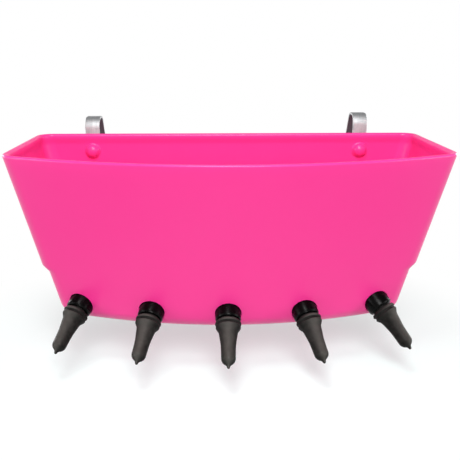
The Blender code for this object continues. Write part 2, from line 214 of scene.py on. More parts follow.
def circle(radius, height, count):
    angles = [math.tau * i / count for i in range(count)]
    return [Vector((radius * math.cos(a), radius * math.sin(a), height)) for a in angles]


def turned(name, profile, steps=64, closed=False):
    """Turn a profile of (radius, height) points about local Z."""
    return loft(name, [circle(radius, height, steps) for radius, height in profile], closed)


def arc(centre, radius, start, end, steps):
    """Points of an arc in a profile, from one angle to another in degrees."""
    angles = [math.radians(start + (end - start) * i / steps) for i in range(steps + 1)]
    return [(centre[0] + radius * math.cos(a), centre[1] + radius * math.sin(a)) for a in angles]


# %% [markdown]
# ## Finishes
#
# Colours are written as the sRGB hex values that a colour picker shows, and one function turns
# them to the linear values that the renderer needs. One function adds a node with its settings
# and its links, and each material below is built with it. Patterns read Object coordinates, so
# they stay on a piece when it moves, and each scale comes from a size in millimetres.

# %% Colour, node and material helpers
def linear(code):
    """An sRGB hex colour as linear RGBA."""
    parts = [int(code[i:i + 2], 16) / 255.0 for i in (1, 3, 5)]
    return [p / 12.92 if p <= 0.04045 else ((p + 0.055) / 1.055) ** 2.4 for p in parts] + [1.0]


def per(millimetres):
    """The texture scale that gives features of this size."""
    return 1000.0 / millimetres


def new_material(name):
    material = bpy.data.materials.new(name)
    material.use_nodes = True
    return material


def add_node(material, kind, settings=None, links=None):
    """Add a node; a setting is an input's name or number, or one of the node's own options."""
    tree = material.node_tree
    node = tree.nodes.new(kind)
    for key, value in (settings or {}).items():
        if isinstance(key, str) and hasattr(node, key):
            setattr(node, key, value)
    for key, value in (settings or {}).items():
        if not (isinstance(key, str) and hasattr(node, key)):
            node.inputs[key].default_value = value
    for key, output in (links or {}).items():
        tree.links.new(output, node.inputs[key])
    return node


def finish(material, settings, links=None):
    """Set and link the material's own shader."""
    shader = material.node_tree.nodes["Principled BSDF"]
    for key, value in settings.items():
        shader.inputs[key].default_value = value
    for key, output in (links or {}).items():
        material.node_tree.links.new(output, shader.inputs[key])
    return material


def dress(thing, material):
    thing.data.materials.clear()
    thing.data.materials.append(material)
    return thing


# %% [markdown]
# The trough is rotationally moulded polyethylene. The powder melts against a blasted steel
# mould, which leaves a satin skin with a very faint orange peel, a few millimetres from dimple
# to dimple, and the wall thickness wanders a little, so that the colour does too. Polyethylene
# has an index of refraction of about 1.51, and it is coloured right through.

# %% Pink polyethylene
PINK = "#fb3b96"
PINK_DEEP = "#fa3894"


def make_pink():
    material = new_material("pink_rotomoulded_polyethylene")
    where = add_node(material, "ShaderNodeTexCoord").outputs["Object"]
    cloud = add_node(material, "ShaderNodeTexNoise", {"Scale": per(70), "Detail": 3.0},
                     {"Vector": where})
    colour = add_node(material, "ShaderNodeMix",
                      {"data_type": "RGBA", 6: linear(PINK_DEEP), 7: linear(PINK)},
                      {0: cloud.outputs[0]})
    sheen = add_node(material, "ShaderNodeTexNoise", {"Scale": per(16), "Detail": 4.0},
                     {"Vector": where})
    rough = add_node(material, "ShaderNodeMapRange",
                     {"From Min": 0.3, "From Max": 0.7, "To Min": 0.29, "To Max": 0.35},
                     {"Value": sheen.outputs[0]})
    peel = add_node(material, "ShaderNodeTexNoise", {"Scale": per(3.2), "Detail": 2.0},
                    {"Vector": where})
    bump = add_node(material, "ShaderNodeBump", {"Strength": 0.06, "Distance": 0.0004},
                    {"Height": peel.outputs[0]})
    return finish(material, {"IOR": 1.51, "Specular IOR Level": 0.32},
                  {"Base Color": colour.outputs[2], "Roughness": rough.outputs[0],
                   "Normal": bump.outputs[0]})


pink = make_pink()
print("made", pink.name)

# %% [markdown]
# The screw rings are injection-moulded nylon from a polished mould, jet black and glossy. The
# spigots and nuts are nylon too, but from a plainer mould, so they are a shade greyer and more
# satin. Both share one function with other numbers.

# %% Black nylon, glossy and satin
def make_nylon(name, colour, gloss, streak, shine):
    material = new_material(name)
    where = add_node(material, "ShaderNodeTexCoord").outputs["Object"]
    flow = add_node(material, "ShaderNodeTexNoise", {"Scale": per(9), "Detail": 5.0},
                    {"Vector": where})
    rough = add_node(material, "ShaderNodeMapRange",
                     {"From Min": 0.3, "From Max": 0.7, "To Min": gloss, "To Max": gloss + streak},
                     {"Value": flow.outputs[0]})
    grain = add_node(material, "ShaderNodeTexNoise", {"Scale": per(0.9), "Detail": 2.0},
                     {"Vector": where})
    bump = add_node(material, "ShaderNodeBump", {"Strength": 0.08, "Distance": 0.0001},
                    {"Height": grain.outputs[0]})
    return finish(material, {"Base Color": linear(colour), "IOR": 1.53, "Specular IOR Level": shine},
                  {"Roughness": rough.outputs[0], "Normal": bump.outputs[0]})


glossy_nylon = make_nylon("glossy_black_nylon", "#030303", 0.24, 0.08, 0.07)
satin_nylon = make_nylon("satin_black_nylon", "#161616", 0.36, 0.14, 0.4)
nut_nylon = make_nylon("glass_filled_nylon", "#1d1d1e", 0.48, 0.14, 0.4)
print("made", glossy_nylon.name, satin_nylon.name, nut_nylon.name)

# %% [markdown]
# A calf teat is natural rubber with carbon black, pressed in a steel mould. It is a warm near
# black, and matt. Wax comes out of the rubber as a faint bloom, and calves suck the tip smooth.
# The colour is painted lighter along the teat's top line, a painted highlight where the light
# falls, and is left dark in the grooves and behind the collar, a painted shade. So the teat's mesh
# carries two attributes: "upper" is one along its top line and zero at its sides and in the
# grooves, and "worn" is one at the tip. A seal has neither, and stays dark. A fine grain from the
# blasted mould breaks up the highlights.

# %% Teat rubber and seal rubber
def make_rubber(name, dark, light, roughness):
    material = new_material(name)
    where = add_node(material, "ShaderNodeTexCoord").outputs["Object"]
    upper = add_node(material, "ShaderNodeAttribute", {"attribute_name": "upper"}).outputs["Fac"]
    worn = add_node(material, "ShaderNodeAttribute", {"attribute_name": "worn"}).outputs["Fac"]
    # The top line's share of the lighter colour is a painted highlight; the bloom noise varies at
    # random.
    painted_top_light = add_node(material, "ShaderNodeMath", {"operation": "POWER", 1: 4.0}, {0: upper})
    bloom = add_node(material, "ShaderNodeTexNoise", {"Scale": per(9), "Detail": 6.0},
                     {"Vector": where})
    top_light_and_bloom = add_node(material, "ShaderNodeMath", {"operation": "MULTIPLY_ADD", 1: 1.6},
                    {0: painted_top_light.outputs[0], 2: bloom.outputs[0]})
    share = add_node(material, "ShaderNodeMapRange", {"From Min": 0.35, "From Max": 2.25},
                     {"Value": top_light_and_bloom.outputs[0]})
    colour = add_node(material, "ShaderNodeMix",
                      {"data_type": "RGBA", 6: linear(dark), 7: linear(light)},
                      {0: share.outputs[0]})
    rough = add_node(material, "ShaderNodeMapRange",
                     {"To Min": roughness, "To Max": roughness - 0.24}, {"Value": worn})
    grain = add_node(material, "ShaderNodeTexNoise", {"Scale": per(0.8), "Detail": 3.0},
                     {"Vector": where})
    bump = add_node(material, "ShaderNodeBump", {"Strength": 0.20, "Distance": 0.0002},
                    {"Height": grain.outputs[0]})
    return finish(material, {"IOR": 1.52, "Specular IOR Level": 0.05},
                  {"Base Color": colour.outputs[2], "Roughness": rough.outputs[0],
                   "Normal": bump.outputs[0]})


teat_rubber = make_rubber("moulded_teat_rubber", "#151413", "#474542", 0.50)
seal_rubber = make_rubber("seal_rubber", "#1b1b1b", "#232322", 0.68)
print("made", teat_rubber.name, seal_rubber.name)

# %% [markdown]
# The hooks are hot-rolled strip, galvanised and then brushed lengthways, so the streaks run
# along the strip: up the near leg, over the crown and down the far leg. Those three all keep
# the same sideways direction, so a noise that is fine across the strip and very long the other
# two ways follows the bends by itself. Zinc also grows crystals, faint patches a centimetre or
# so wide. The faces that look into the hook are painted a dull dark grey, a painted shade for
# the inside of the bend, and the mesh carries an attribute that marks them. Bolts and washers
# are bright zinc plate, and the inserts are turned brass; neither has that attribute, so it is
# zero on them.

# %% Galvanised strip, zinc plate and brass
# The dark grey of the painted shade inside the hooks.
INSIDE_SHADE_GREY = "#68696b"


def make_metal(name, light, dark, roughness, streak, patch, grain_strength):
    """A bare metal whose streaks run at right angles to X."""
    material = new_material(name)
    where = add_node(material, "ShaderNodeTexCoord").outputs["Object"]
    stretched = add_node(material, "ShaderNodeMapping", {"Scale": (1.0, 0.02, 0.02)},
                         {"Vector": where})
    brushed = add_node(material, "ShaderNodeTexNoise", {"Scale": per(streak), "Detail": 4.0},
                       {"Vector": stretched.outputs[0]})
    crystals = add_node(material, "ShaderNodeTexVoronoi", {"Scale": per(patch)},
                        {"Vector": where})
    shade = add_node(material, "ShaderNodeSeparateColor", {}, {0: crystals.outputs["Color"]})
    both = add_node(material, "ShaderNodeMath", {"operation": "MULTIPLY_ADD", 1: 0.15},
                    {0: shade.outputs[0], 2: brushed.outputs[0]})
    share = add_node(material, "ShaderNodeMapRange", {"From Min": 0.30, "From Max": 0.85},
                     {"Value": both.outputs[0]})
    brushed_colour = add_node(material, "ShaderNodeMix",
                              {"data_type": "RGBA", 6: linear(dark), 7: linear(light)},
                              {0: share.outputs[0]})
    # Faces that look into the hook take a dark grey: a painted shade inside the bend.
    inside_shade = add_node(material, "ShaderNodeAttribute", {"attribute_name": "inside_shade"}).outputs["Fac"]
    colour = add_node(material, "ShaderNodeMix", {"data_type": "RGBA", 7: linear(INSIDE_SHADE_GREY)},
                      {0: inside_shade, 6: brushed_colour.outputs[2]})
    rough = add_node(material, "ShaderNodeMapRange",
                     {"To Min": roughness + 0.08, "To Max": roughness - 0.06},
                     {"Value": share.outputs[0]})
    bump = add_node(material, "ShaderNodeBump",
                    {"Strength": grain_strength, "Distance": 0.0001},
                    {"Height": brushed.outputs[0]})
    return finish(material, {"Metallic": 1.0},
                  {"Base Color": colour.outputs[2], "Roughness": rough.outputs[0],
                   "Normal": bump.outputs[0]})


galvanised = make_metal("brushed_galvanised_steel", "#c2c3c4", "#a3a5a7", 0.60, 0.8, 9, 0.15)
zinc_plate = make_metal("bright_zinc_plate", "#d6d6cf", "#bdbdb6", 0.28, 2.0, 14, 0.08)
brass = make_metal("turned_brass", "#e2c27a", "#b9934a", 0.30, 2.0, 14, 0.08)
print("made", galvanised.name, zinc_plate.name, brass.name)

# %% [markdown]
# ## The trough
#
# The moulding is a loft. Seen from above, its back is straight, its ends run straight forwards
# and its front is a shallow bow. Going down, the ends and the front lean in, and low on each
# end there is a small step, so that stacked troughs don't jam. The next cells write that
# outline as a formula, with the sizes in metres, counted from the middle of the back rim.

# %% Sizes of the trough
RIM_HALF_WIDTH = 0.400
RIM_CORNER_DEPTH = 0.2925
RIM_CENTRE_DEPTH = 0.404
BASE_HALF_WIDTH = 0.3265
BASE_CORNER_DEPTH = 0.2165
BASE_CENTRE_DEPTH = 0.289
BACK_CORNER_RADIUS = 0.032
FRONT_CORNER_REACH = 0.0285
FRONT_CORNER_SHARE = 0.87
BASE_EDGE_RADIUS = 0.025
WALL = 0.006
LIP_RADIUS = 0.005
LEDGE_TOP = -0.216
LEDGE_BOTTOM = -0.232
LEDGE_STEP = 0.010
BACK_POINTS = 10
CORNER_POINTS = 14
SIDE_POINTS = 10
FRONT_POINTS = 40


def side_x(z):
    """Half the outer width at a height, with the nesting step as a soft S."""
    slope = (RIM_HALF_WIDTH - BASE_HALF_WIDTH - LEDGE_STEP) / HEIGHT
    t = min(max((LEDGE_TOP - z) / (LEDGE_TOP - LEDGE_BOTTOM), 0.0), 1.0)
    return RIM_HALF_WIDTH + slope * z - LEDGE_STEP * t * t * (3.0 - 2.0 * t)


def front_y(x, z):
    """The bowed front's outer face, which leans in towards the base."""
    down = -z / HEIGHT
    reach = RIM_HALF_WIDTH + (BASE_HALF_WIDTH - RIM_HALF_WIDTH) * down
    corner = RIM_CORNER_DEPTH + (BASE_CORNER_DEPTH - RIM_CORNER_DEPTH) * down
    centre = RIM_CENTRE_DEPTH + (BASE_CENTRE_DEPTH - RIM_CENTRE_DEPTH) * down
    return -(centre + (corner - centre) * (x / reach) ** 2)


def half_outline(z):
    """The right half at a height, from the middle of the back to the middle of the front."""
    width = side_x(z)
    straight = width - BACK_CORNER_RADIUS
    points = [Vector((straight * i / BACK_POINTS, 0.0)) for i in range(BACK_POINTS)]
    for i in range(CORNER_POINTS):
        angle = math.radians(90.0 * (1.0 - i / CORNER_POINTS))
        points.append(Vector((straight + BACK_CORNER_RADIUS * math.cos(angle),
                              BACK_CORNER_RADIUS * (math.sin(angle) - 1.0))))
    corner = Vector((width, front_y(width, z)))
    side_start = Vector((width, -BACK_CORNER_RADIUS))
    side_end = corner + Vector((0.0, FRONT_CORNER_REACH))
    points += [side_start.lerp(side_end, i / SIDE_POINTS) for i in range(SIDE_POINTS)]
    front_x = width - FRONT_CORNER_REACH * FRONT_CORNER_SHARE
    front_start = Vector((front_x, front_y(front_x, z)))
    for i in range(CORNER_POINTS):
        t = i / CORNER_POINTS
        points.append(side_end.lerp(corner, t).lerp(corner.lerp(front_start, t), t))
    for i in range(FRONT_POINTS + 1):
        x = front_x * (1.0 - i / FRONT_POINTS)
        points.append(Vector((x, front_y(x, z))))
    return points


def outline(z, inset):
    """The whole outline at a height, moved inwards by the inset."""
    right = half_outline(z)
    ring = right + [Vector((-p.x, p.y)) for p in reversed(right[1:-1])]
    moved = []
    for i, point in enumerate(ring):
        along = (ring[(i + 1) % len(ring)] - ring[i - 1]).normalized()
        moved.append(at(point.x + along.y * inset, point.y - along.x * inset, z))
    return moved


print("the outline has", len(outline(0.0, 0.0)), "points")

# %% [markdown]
# The loft climbs the outer skin, rolls over the lip and goes down the inner skin to the floor,
# all as one strip of rings. Each ring is a height and an inset from the outer skin. The lip is
# a bead ten millimetres wide on a six millimetre wall, and below it the inner face fades back
# to the wall in a soft cove, which is what puts the darker band under the rim in the photo.

# %% Heights and insets of the skin
EDGE_RINGS = 8
FOOT_RINGS = 5
WALL_RINGS = 9
LEDGE_RINGS = 10
COVE_TOP = -0.006
COVE_BOTTOM = -0.024
COVE_RINGS = 6


def spread(start, end, count):
    """Evenly spaced heights after the start, up to and with the end."""
    return [start + (end - start) * i / count for i in range(1, count + 1)]


def skin_levels():
    """Every (height, inset) from the base, over the lip, to the floor."""
    levels = []
    for i in range(EDGE_RINGS + 1):
        angle = math.radians(90.0 * i / EDGE_RINGS)
        levels.append((-HEIGHT + BASE_EDGE_RADIUS * (1.0 - math.cos(angle)),
                       BASE_EDGE_RADIUS * (1.0 - math.sin(angle))))
    climb = spread(-HEIGHT + BASE_EDGE_RADIUS, LEDGE_BOTTOM, FOOT_RINGS)
    climb += spread(LEDGE_BOTTOM, LEDGE_TOP, LEDGE_RINGS)
    climb += spread(LEDGE_TOP, -LIP_RADIUS, WALL_RINGS)
    levels += [(z, 0.0) for z in climb]
    for i in range(1, 2 * EDGE_RINGS + 1):
        angle = math.radians(180.0 - 90.0 * i / EDGE_RINGS)
        levels.append((-LIP_RADIUS * (1.0 - math.sin(angle)), LIP_RADIUS * (1.0 + math.cos(angle))))
    for i, z in enumerate(spread(COVE_TOP, COVE_BOTTOM, COVE_RINGS)):
        t = (i + 1) / COVE_RINGS
        levels.append((z, 2.0 * LIP_RADIUS + (WALL - 2.0 * LIP_RADIUS) * t * t * (3.0 - 2.0 * t)))
    fillet = BASE_EDGE_RADIUS - WALL
    descent = spread(COVE_BOTTOM, LEDGE_TOP, WALL_RINGS)
    descent += spread(LEDGE_TOP, LEDGE_BOTTOM, LEDGE_RINGS)
    levels += [(z, WALL) for z in descent]
    for i in range(EDGE_RINGS, -1, -1):
        angle = math.radians(90.0 * i / EDGE_RINGS)
        levels.append((-HEIGHT + WALL + fillet * (1.0 - math.cos(angle)),
                       WALL + fillet * (1.0 - math.sin(angle))))
    return levels


trough = loft("trough_moulding", [outline(z, inset) for z, inset in skin_levels()])
print("the bare moulding has", len(trough.data.polygons), "faces")

# %% [markdown]
# Each teat needs a flat seat square to its own axis, although the wall leans and bows. So the
# mould pushes a round pocket into the wall, and a boss stands out inside to keep the plastic
# thick. Both are cylinders that meet the wall at a slant, so their edges aren't circles. To
# round those edges, the tool for each seat is a loft whose last rings follow the wall: for
# every direction round the axis, a short search finds where the cylinder meets the wall, and
# the ring flares out there by the radius of the fillet.

# %% Meeting line of a cylinder and the wall
SEAT_STEPS = 72
SEARCH_STEPS = 30
SEARCH_REACH = 0.08
SLOPE_STEP = 0.001
POCKET_RADIUS = 0.0240


def wall_gap(point, inset):
    """Below zero inside the hollow that this inset leaves, above zero outside it."""
    z = point.z - TOP
    floor = inset - HEIGHT
    radius = BASE_EDGE_RADIUS - inset
    low = min(max((z - floor) / radius, 0.0), 1.0)
    edge = inset + radius * (1.0 - math.sqrt(1.0 - (1.0 - low) ** 2))
    rise = front_y(point.x + SLOPE_STEP, z) - front_y(point.x - SLOPE_STEP, z)
    slope = rise / (2.0 * SLOPE_STEP)
    return max(front_y(point.x, z) + edge * math.hypot(1.0, slope) - (point.y - BACK), floor - z)


def meets_wall(place, radius, angle, inset):
    """The height along the axis where this line of the cylinder meets the wall."""
    low, high = -SEARCH_REACH, SEARCH_REACH
    for _ in range(SEARCH_STEPS):
        middle = (low + high) / 2.0
        point = place @ Vector((radius * math.cos(angle), radius * math.sin(angle), middle))
        if wall_gap(point, inset) > 0.0:
            high = middle
        else:
            low = middle
    return (low + high) / 2.0


for number in TEATS:
    heights = [meets_wall(stations[number], POCKET_RADIUS, math.tau * i / 8, 0.0) for i in range(8)]
    print("seat", number, "meets the wall from", round(min(heights) * 1000, 1), "to",
          round(max(heights) * 1000, 1), "mm along its axis")

# %% [markdown]
# The pocket's tool also drills the spigot's hole. The boss is a tool of the same kind that is
# joined on instead of cut away. All five of each are merged into one mesh first, so that the
# big moulding goes through one union and one difference.

# %% Pockets and bosses
SEAT_OUT = -0.0135
SEAT_IN = -0.0200
POCKET_EDGE = 0.001
BOSS_RADIUS = 0.0306
BOSS_EDGE = 0.002
HOLE_RADIUS = 0.0136
BOSS_CAP = 0.003
POCKET_FILLET = 0.0012
POCKET_PAST = 0.02
BOSS_FILLET = 0.0060
FILLET_STEPS = 5
FLARE_END = 62.0
FLARE_STEP = 0.00005
FLARE_PAST = 0.0006


def on_wall(place, radii, inset, drop, floor):
    """A ring that follows the wall's face, lowered by the drop, but never below the floor."""
    ring = []
    for i, radius in enumerate(radii):
        angle = math.tau * i / SEAT_STEPS
        height = max(meets_wall(place, radius, angle, inset) - drop[i], floor)
        ring.append(Vector((radius * math.cos(angle), radius * math.sin(angle), height)))
    return ring


def flare(place, radius, fillet, inset, floor):
    """Rings that leave a cylinder and turn over onto the wall, and one ring past its face."""
    reach = []
    for i in range(SEAT_STEPS):
        depth = meets_wall(place, radius, math.tau * i / SEAT_STEPS, inset) - floor
        reach.append(min(max(depth * 0.6, 0.0), fillet))
    rings = []
    for step in range(FILLET_STEPS + 1):
        turn = math.radians(FLARE_END * step / FILLET_STEPS)
        radii = [radius + r * (1.0 - math.cos(turn)) for r in reach]
        drop = [r * (1.0 - math.sin(turn)) for r in reach]
        rings.append(on_wall(place, radii, inset, drop, floor + FLARE_STEP * (step + 1)))
    end = math.radians(FLARE_END)
    radii = [radius + r * (1.0 - math.cos(end) + math.sin(end)) for r in reach]
    drop = [r * (1.0 - math.sin(end) - math.cos(end)) - FLARE_PAST for r in reach]
    return rings + [on_wall(place, radii, inset, drop, floor + FLARE_STEP * (FILLET_STEPS + 2))]


def lifted(ring, height):
    return [Vector((p.x, p.y, p.z + height)) for p in ring]


def pocket_tool(number):
    place = stations[number]
    low = SEAT_OUT + POCKET_EDGE
    profile = [(HOLE_RADIUS, SEAT_IN - WALL), (HOLE_RADIUS, SEAT_OUT)]
    profile += arc((POCKET_RADIUS - POCKET_EDGE, low), POCKET_EDGE, -90.0, 0.0, 3)
    rings = [circle(radius, height, SEAT_STEPS) for radius, height in profile]
    rings += flare(place, POCKET_RADIUS, POCKET_FILLET, 0.0, low)
    rings.append(lifted(rings[-1], POCKET_PAST))
    return settle(loft(f"pocket_tool_{number}", rings), place)


def boss_tool(number):
    place = stations[number]
    low = SEAT_IN + BOSS_EDGE
    profile = arc((BOSS_RADIUS - BOSS_EDGE, low), BOSS_EDGE, -90.0, 0.0, 4)
    rings = [circle(radius, height, SEAT_STEPS) for radius, height in profile]
    rings += flare(place, BOSS_RADIUS, BOSS_FILLET, WALL, low)
    for share in (0.8, 0.6, 0.4, 0.2):
        radii = [BOSS_RADIUS * share] * SEAT_STEPS
        rings.append(on_wall(place, radii, WALL, [-WALL / 2.0] * SEAT_STEPS, SEAT_IN + BOSS_CAP))
    return settle(loft(f"boss_tool_{number}", rings), place)


def joined(things):
    bpy.ops.object.select_all(action="DESELECT")
    for thing in things:
        thing.select_set(True)
    bpy.context.view_layer.objects.active = things[0]
    bpy.ops.object.join()
    return things[0]


combine(trough, joined([boss_tool(number) for number in TEATS]), "UNION")
combine(trough, joined([pocket_tool(number) for number in TEATS]), "DIFFERENCE")
print("with its seats the moulding has", len(trough.data.polygons), "faces")

# %% [markdown]
# Each hook's bolt runs into a brass insert that is moulded into the back wall. The plastic that
# wraps the insert shows inside the trough as a thin round pad with a dome on it. The hooks'
# own boxes say where these sit from side to side.

# %% Domes over the inserts
HOOKS = ("left", "right")
BOLT_Z = -0.0365
PAD_RADIUS = 0.0165
PAD_HEIGHT = 0.0025
PAD_EDGE = 0.0012
DOME_RADIUS = 0.0137
DOME_HEIGHT = 0.0105
DOME_RINGS = 16
DOME_SHIFT = 0.0004
DOME_TOP_RADIUS = 0.0006
INSERT_RADIUS = 0.006
INSERT_LENGTH = 0.013
GAP = 0.0003


def middle_x(node):
    low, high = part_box(node)
    return (low.x + high.x) / 2.0


def bolt_place(side):
    """The bolt's place, with local Z pointing forwards into the trough."""
    place = at(middle_x(f"hook_{side}"), 0.0, BOLT_Z)
    return Matrix.Translation(place) @ Matrix.Rotation(math.radians(90.0), 4, "X")


def dome_tool(side):
    pad_top = WALL + PAD_HEIGHT
    foot = PAD_RADIUS + PAD_EDGE
    profile = [(foot, WALL - 0.001), (foot, WALL + 0.0001)]
    profile += arc((foot, WALL + PAD_EDGE), PAD_EDGE, 270.0, 180.0, 4)[1:]
    profile += arc((PAD_RADIUS - PAD_EDGE, pad_top - PAD_EDGE), PAD_EDGE, 0.0, 90.0, 4)
    for i in range(1, DOME_RINGS):
        angle = math.radians(90.0 * i / DOME_RINGS)
        radius = DOME_RADIUS * math.cos(angle) + DOME_SHIFT
        profile.append((radius, pad_top + DOME_HEIGHT * math.sin(angle)))
    profile.append((DOME_TOP_RADIUS, pad_top + DOME_HEIGHT))
    return settle(turned(f"dome_tool_{side}", profile, 48), bolt_place(side))


def socket_tool(side):
    profile = [(INSERT_RADIUS + GAP, -WALL), (INSERT_RADIUS + GAP, INSERT_LENGTH + 2.0 * GAP)]
    return settle(turned(f"socket_tool_{side}", profile, 48), bolt_place(side))


combine(trough, joined([dome_tool(side) for side in HOOKS]), "UNION")
combine(trough, joined([socket_tool(side) for side in HOOKS]), "DIFFERENCE")
smooth(dress(trough, pink))
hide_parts("trough")
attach(trough, "trough")
print("the finished moulding has", len(trough.data.polygons), "faces")

# %% [markdown]
# ## The teats
#
# A teat is turned, from its fine tip back over the bulb, the long taper and the shoulder, to
# two beads and the flange that the screw ring traps, and then up its hollow inside. It is soft,
# so its far end hangs down by a few degrees. The bend is a formula along the axis: nothing
# moves before it starts, then the axis follows an arc, then it runs straight on. All the pieces
# of the five places are modelled once, upright at the origin, and one function copies them.

# %% Copies for the five places
def show_at_teats(*rows):
    """Copy masters to each teat's place, in the stead of the frame's nodes there."""
    for number in TEATS:
        for master, name, node, slot, body in rows:
            piece = settle(copy_of(master, f"{name}_{number}"), stations[number])
            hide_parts(f"{node}_{number}")
            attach(piece, body.format(number))
    for master, name, node, slot, body in rows:
        print(f"each {name} has", len(master.data.polygons), "faces")
        discard(master)


# %% A teat's profile
TEAT_TIP = 0.1065
DOME_CENTRE = 0.0877
DOME_END = 0.0130
NECK_RADIUS = 0.0174
COLLAR_REAR = 0.0176
FLANGE_REAR = 0.0087
FLANGE_FRONT = 0.0113
FLANGE_RADIUS = 0.0190
DROOP = math.radians(5.0)
DROOP_START = 0.026
DROOP_END = 0.052


def teat_profile():
    """Outer side from the tip to the flange, then the hollow inside to its blind end."""
    tip = [(0.0004, TEAT_TIP), (0.0011, 0.10635), (0.0018, 0.1059), (0.0024, 0.1051),
           (0.0028, 0.1040), (0.0031, 0.1028), (0.0036, 0.1017), (0.0044, 0.1006)]
    bulb = arc((0.0, DOME_CENTRE), DOME_END, 64.0, 0.0, 12)
    body = [(0.0131, 0.0820), (0.0132, 0.0760), (0.0134, 0.0700), (0.0138, 0.0625),
            (0.0147, 0.0555), (0.0159, 0.0480), (0.0170, 0.0405), (0.0178, 0.0375),
            (0.0190, 0.0350)]
    shoulder = [(0.0204, 0.0330), (0.0214, 0.0313), (0.0222, 0.0300)]
    front_bead = arc((0.0212, 0.0286), 0.0015, 30.0, -20.0, 5)
    groove = [(0.0223, 0.0277), (0.0216, 0.0269), (0.0212, 0.0259), (0.0213, 0.0248),
              (0.0220, 0.0238)]
    rear_bead = arc((0.0217, 0.0213), 0.0021, 50.0, -45.0, 8)
    collar = [(0.0226, 0.0186), (0.0221, 0.0179), (0.0214, COLLAR_REAR),
              (NECK_RADIUS, COLLAR_REAR)]
    flange = [(NECK_RADIUS, FLANGE_FRONT), (FLANGE_RADIUS, FLANGE_FRONT),
              (FLANGE_RADIUS, FLANGE_REAR)]
    hollow = [(0.0100, FLANGE_REAR), (0.0104, 0.0112), (0.0120, 0.0150), (0.0141, 0.0180),
              (0.0150, 0.0208), (0.0150, 0.0280), (0.0143, 0.0325), (0.0125, 0.0400),
              (0.0111, 0.0490), (0.0100, 0.0580), (0.0095, 0.0720), (0.0090, 0.0850),
              (0.0062, 0.0915), (0.0020, 0.0945)]
    return tip + bulb + body + shoulder + front_bead + groove + rear_bead + collar + flange + hollow


def hang(mesh):
    """Let the soft end droop on an arc."""
    radius = (DROOP_END - DROOP_START) / DROOP
    for vert in mesh.vertices:
        x, y, z = vert.co
        if z > DROOP_START:
            angle = (min(z, DROOP_END) - DROOP_START) / radius
            past = max(z - DROOP_END, 0.0)
            sag = radius * (1.0 - math.cos(angle)) + past * math.sin(angle)
            reach = DROOP_START + radius * math.sin(angle) + past * math.cos(angle)
            vert.co = (x, y * math.cos(angle) - sag, reach + y * math.sin(angle))


print("the profile has", len(teat_profile()), "points")

# %% [markdown]
# The tip is cut with a small cross, which opens when a calf sucks. Two thin blades cut it into
# the master teat before the bend, so the five copies all have it.

# %% Teats
SLIT_LENGTH = 0.0034
SLIT_WIDTH = 0.0004
SLIT_DEPTH = 0.0030
WEAR_START = 0.076
WEAR_END = 0.092
COLLAR_FRONT = 0.0182
GROOVE_START = 0.0232
GROOVE_END = 0.0282


def mark_top_light_and_wear(mesh):
    """Store nearness to the top line, a painted highlight, and to the tip; the grooves get painted
    shade.
    """
    upper = mesh.attributes.new("upper", "FLOAT", "POINT")
    worn = mesh.attributes.new("worn", "FLOAT", "POINT")
    for vert in mesh.vertices:
        x, y, z = vert.co
        # The grooves and the neck behind the collar get no top light: a painted shade.
        in_painted_shade = GROOVE_START < z < GROOVE_END or z < COLLAR_FRONT
        height = max(y / max(math.hypot(x, y), 0.0001), 0.0)
        share = (z - WEAR_START) / (WEAR_END - WEAR_START)
        upper.data[vert.index].value = 0.0 if in_painted_shade else height
        worn.data[vert.index].value = min(max(share, 0.0), 1.0)


def blade(turn):
    bpy.ops.object.select_all(action="DESELECT")
    bpy.ops.mesh.primitive_cube_add(size=1.0, location=(0.0, 0.0, TEAT_TIP),
                                    rotation=(0.0, 0.0, turn))
    thing = bpy.context.active_object
    thing.scale = (SLIT_LENGTH, SLIT_WIDTH, 2.0 * SLIT_DEPTH)
    return settle(thing)


teat_master = turned("teat_master", teat_profile(), 72)
mark_top_light_and_wear(teat_master.data)
combine(teat_master, combine(blade(0.0), blade(math.radians(90.0)), "UNION"), "DIFFERENCE")
hang(teat_master.data)
smooth(dress(teat_master, teat_rubber), 40.0)
show_at_teats((teat_master, "rubber_teat", "teat", "teat_rubber", "teat_{}"))

# %% [markdown]
# ## Screw rings
#
# A ring is a plain cylinder outside, with a small step and a soft edge at its face, and a lip
# inside that presses on the teat's flange. Its bore carries the thread, drawn here as a helix
# with the Screw modifier: a zigzag of one pitch is swept round and up, cut flat at both ends,
# and taken out of the ring.

# %% Threaded rod
PITCH = 0.003
THREAD_STEPS = 48
MERGE = 0.00001


